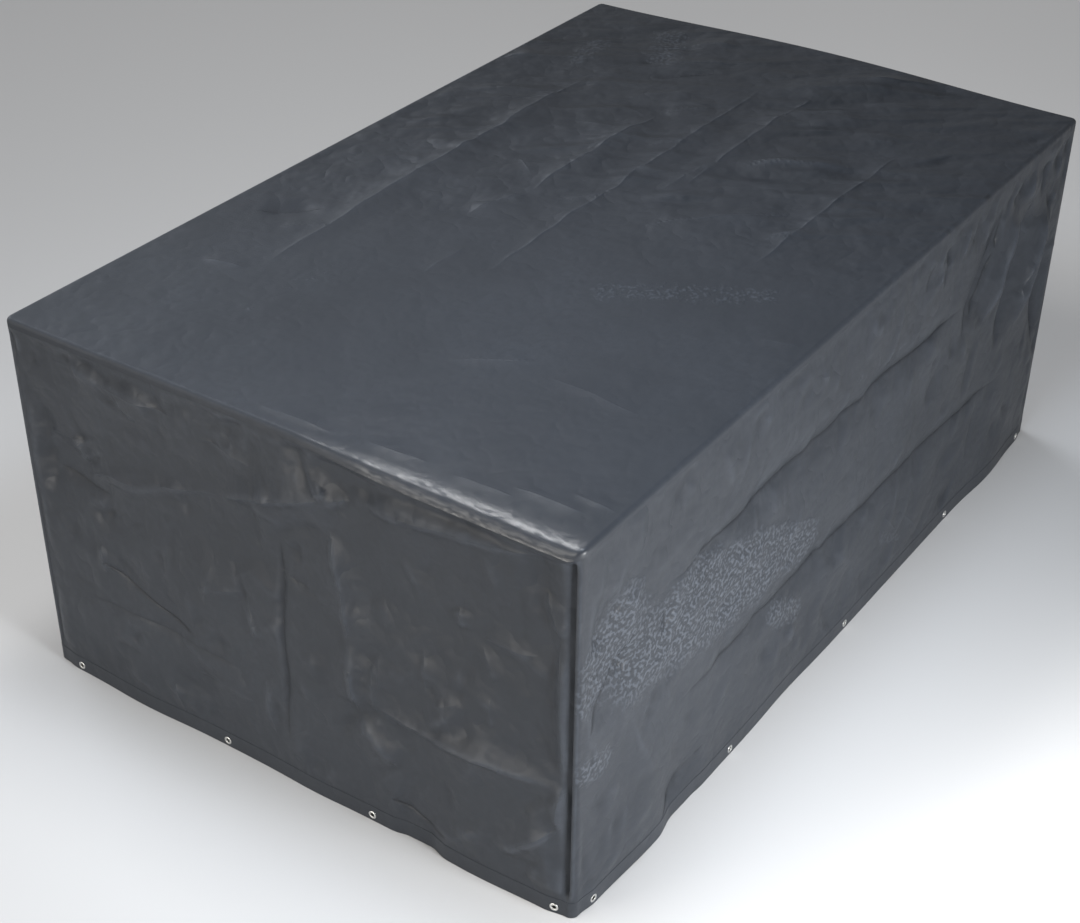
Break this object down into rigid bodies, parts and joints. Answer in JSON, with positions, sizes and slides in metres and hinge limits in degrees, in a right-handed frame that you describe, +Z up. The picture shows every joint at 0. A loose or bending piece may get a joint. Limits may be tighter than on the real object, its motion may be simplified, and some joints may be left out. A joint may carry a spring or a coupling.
{
  "type": "patio furniture cover",
  "caption": "Fitted box-shaped rain cover of coated woven cloth for patio furniture, open below, with metal eyelets along its hem.",
  "frame": {"origin": "on the plane of the lowest hem, under the middle of the cover's bounds", "axes": "+Z up, +X along the cover's length towards the end whose top corner is pulled up, +Y across its width towards the hidden long side; the picture sees the -X end and the -Y long side"},
  "size_m": [2.278, 1.4608, 0.9393],
  "materials": {
    "cover_cloth": "dark blue-grey coated woven tape cloth, low satin sheen, creased from packing",
    "eyelet_metal": "plain pressed metal, lightly dulled"
  },
  "bodies": {
    "root": {"top_panel": "cover_cloth", "side_panel_near": "cover_cloth", "side_panel_far": "cover_cloth", "end_panel_near": "cover_cloth", "end_panel_far": "cover_cloth", "hem_side_near": "cover_cloth", "hem_side_far": "cover_cloth", "hem_end_near": "cover_cloth", "hem_end_far": "cover_cloth", "eyelet_side_near_1": "eyelet_metal", "eyelet_side_near_2": "eyelet_metal", "eyelet_side_near_3": "eyelet_metal", "eyelet_side_near_4": "eyelet_metal", "eyelet_side_near_5": "eyelet_metal", "eyelet_side_far_1": "eyelet_metal", "eyelet_side_far_2": "eyelet_metal", "eyelet_side_far_3": "eyelet_metal", "eyelet_side_far_4": "eyelet_metal", "eyelet_side_far_5": "eyelet_metal", "eyelet_end_near_1": "eyelet_metal", "eyelet_end_near_2": "eyelet_metal", "eyelet_end_near_3": "eyelet_metal", "eyelet_end_near_4": "eyelet_metal", "eyelet_end_far_1": "eyelet_metal", "eyelet_end_far_2": "eyelet_metal", "eyelet_end_far_3": "eyelet_metal", "eyelet_end_far_4": "eyelet_metal"}
  },
  "joints": []
}
